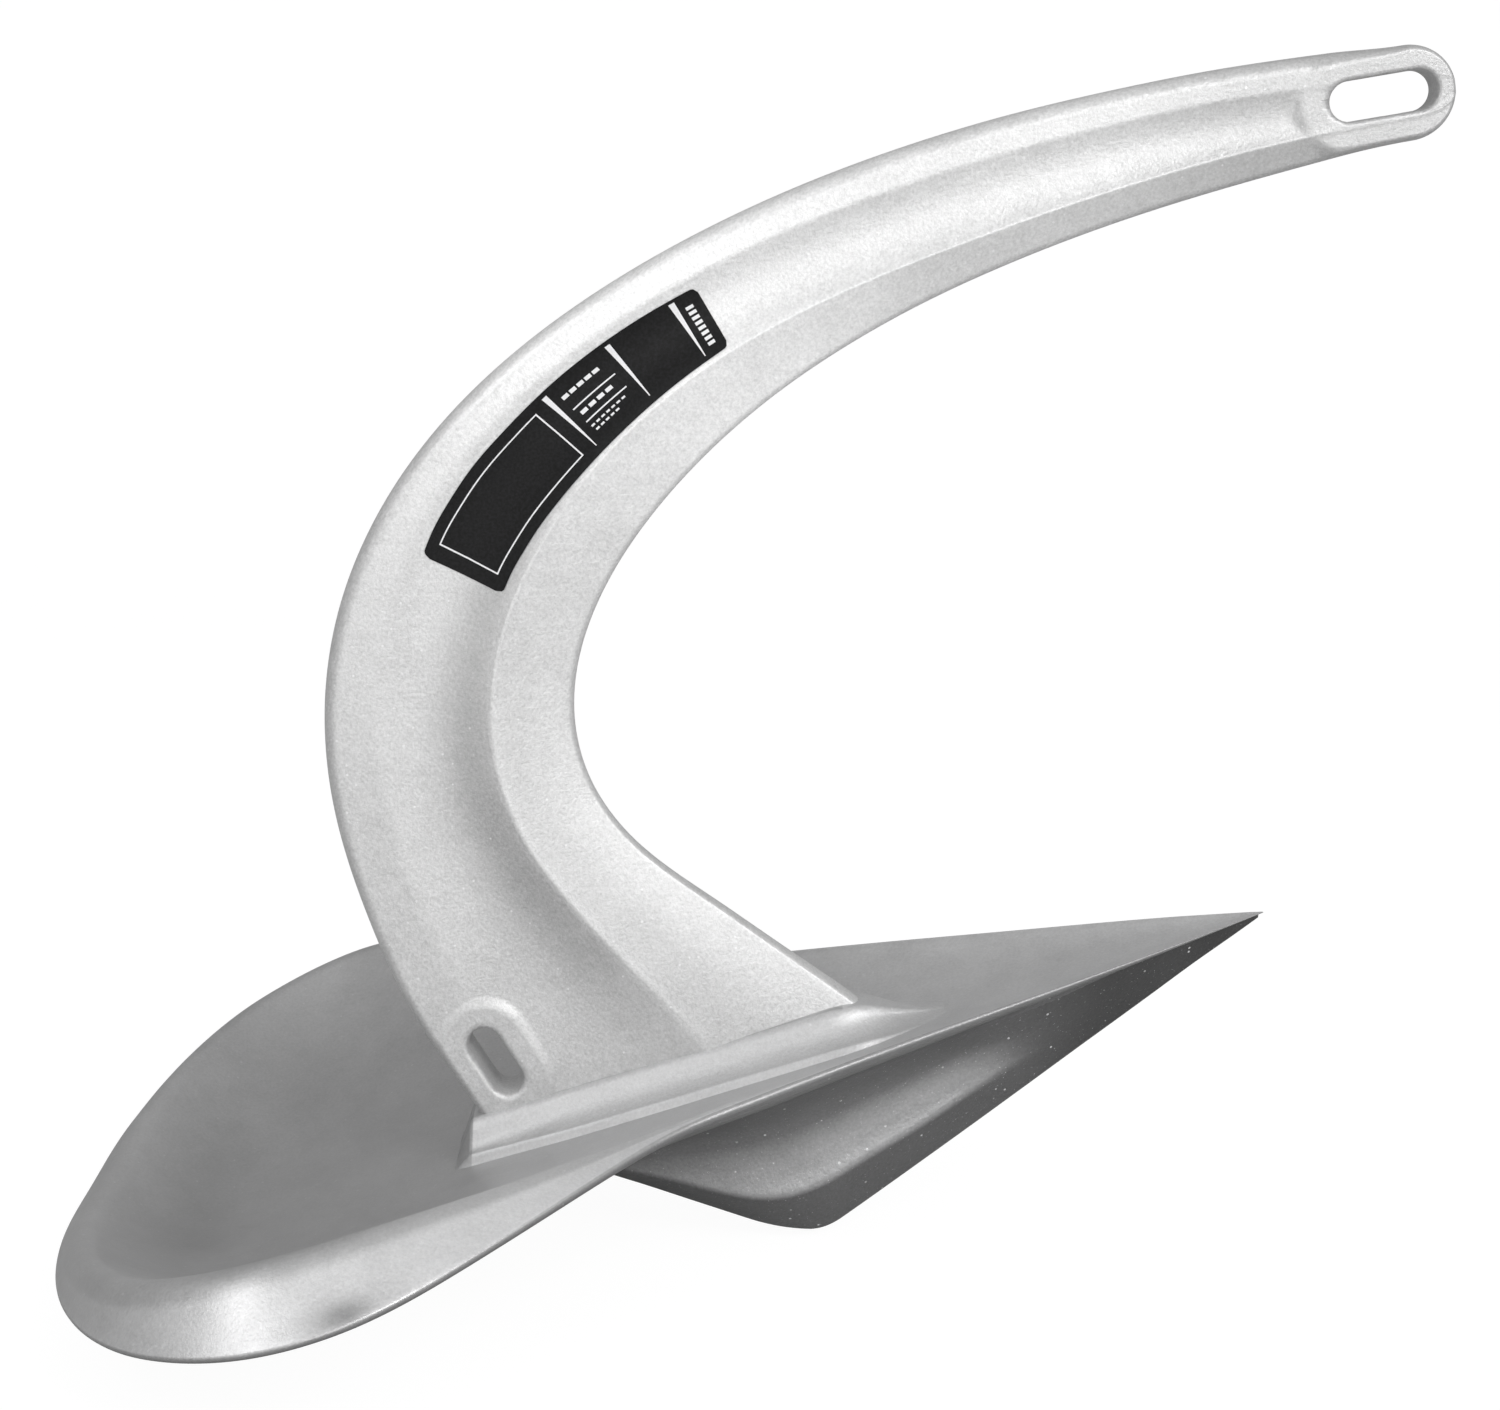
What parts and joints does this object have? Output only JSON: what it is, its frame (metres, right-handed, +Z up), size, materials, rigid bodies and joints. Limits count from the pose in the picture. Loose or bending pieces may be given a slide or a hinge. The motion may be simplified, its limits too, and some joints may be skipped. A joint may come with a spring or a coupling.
{
  "type": "fluke anchor",
  "caption": "Fixed-shank scoop anchor: curved slotted shank welded to a dished fluke plate with a turned-down heel and a deep ballasted toe chamber.",
  "frame": {"origin": "middle of the footprint at ground level, on the centre plane", "axes": "+X forward to the toe, +Y port, +Z up; the anchor stands on the toe chamber's knuckle and the heel rim"},
  "size_m": [0.5508, 0.427, 0.485],
  "materials": {
    "galv_blade": "satin galvanised",
    "galv_shank": "satin galvanised",
    "galv_chamber": "dull galvanised",
    "inner_steel": "raw",
    "ballast_iron": "raw",
    "galv_weld": "satin galvanised",
    "label_film": "semi-matt"
  },
  "bodies": {
    "root": {"fluke_blade": "galv_blade", "shank": "galv_shank", "keel_side_port": "galv_chamber", "keel_side_starboard": "galv_chamber", "keel_sole": "galv_chamber", "keel_rear_plate": "galv_chamber", "keel_rib": "inner_steel", "toe_ballast": "ballast_iron", "root_weld_port": "galv_weld", "root_weld_starboard": "galv_weld", "chamber_weld_port": "galv_weld", "chamber_weld_starboard": "galv_weld", "label_port": "label_film", "label_starboard": "label_film"}
  },
  "joints": []
}
